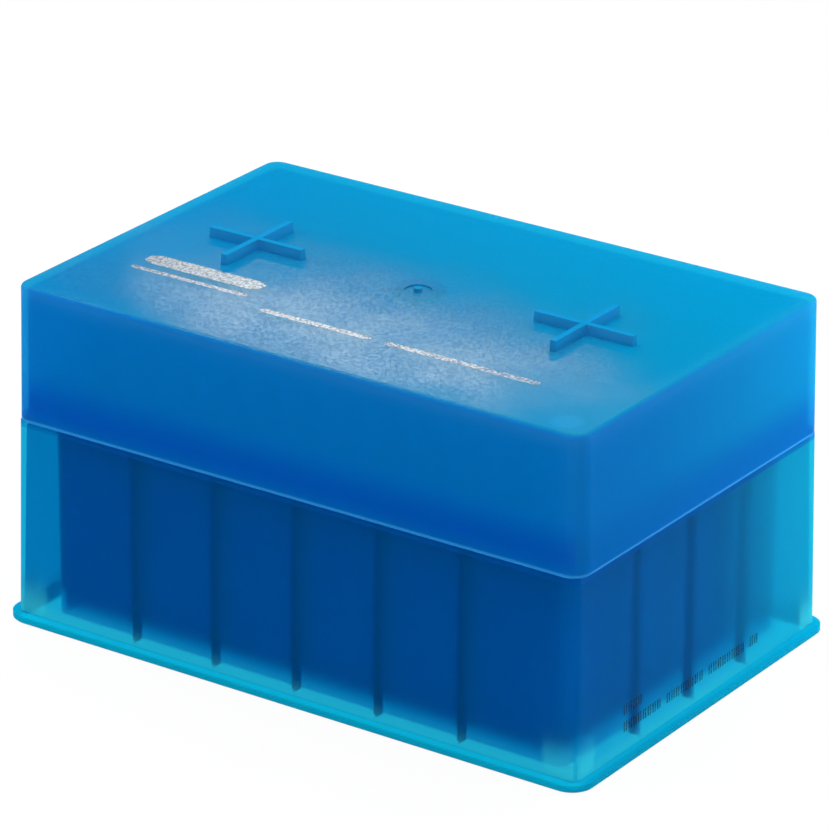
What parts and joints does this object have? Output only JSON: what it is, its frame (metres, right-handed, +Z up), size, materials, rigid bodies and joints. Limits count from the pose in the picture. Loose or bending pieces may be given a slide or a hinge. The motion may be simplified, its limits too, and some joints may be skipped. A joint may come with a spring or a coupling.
{
  "type": "box of filter pipette tips",
  "caption": "Rectangular rack of hanging filter pipette tips with ribbed double walls, a bottom flange and a lift-off lid.",
  "frame": {"origin": "middle of the underside, on the surface that the box stands on", "axes": "+Z up, out of the lid; +X along the long side, +Y along the short side"},
  "size_m": [0.1278, 0.0854, 0.0686],
  "materials": {
    "tinted_plastic": "translucent blue polypropylene, satin outside",
    "tip_plastic": "milky natural polypropylene",
    "filter_plug": "sintered porous polyethylene"
  },
  "bodies": {
    "rack": {"rack": "tinted_plastic", "tip_column_01": "tip_plastic", "tip_column_02": "tip_plastic", "tip_column_03": "tip_plastic", "tip_column_04": "tip_plastic", "tip_column_05": "tip_plastic", "tip_column_06": "tip_plastic", "tip_column_07": "tip_plastic", "tip_column_08": "tip_plastic", "tip_column_09": "tip_plastic", "tip_column_10": "tip_plastic", "tip_column_11": "tip_plastic", "tip_column_12": "tip_plastic", "filter_column_01": "filter_plug", "filter_column_02": "filter_plug", "filter_column_03": "filter_plug", "filter_column_04": "filter_plug", "filter_column_05": "filter_plug", "filter_column_06": "filter_plug", "filter_column_07": "filter_plug", "filter_column_08": "filter_plug", "filter_column_09": "filter_plug", "filter_column_10": "filter_plug", "filter_column_11": "filter_plug", "filter_column_12": "filter_plug"},
    "lid": {"lid": "tinted_plastic"}
  },
  "joints": [
    {"name": "lid_lift", "type": "slide", "parent": "rack", "child": "lid", "axis": [0, 0, 1], "range_m": [0, 0.06]}
  ]
}
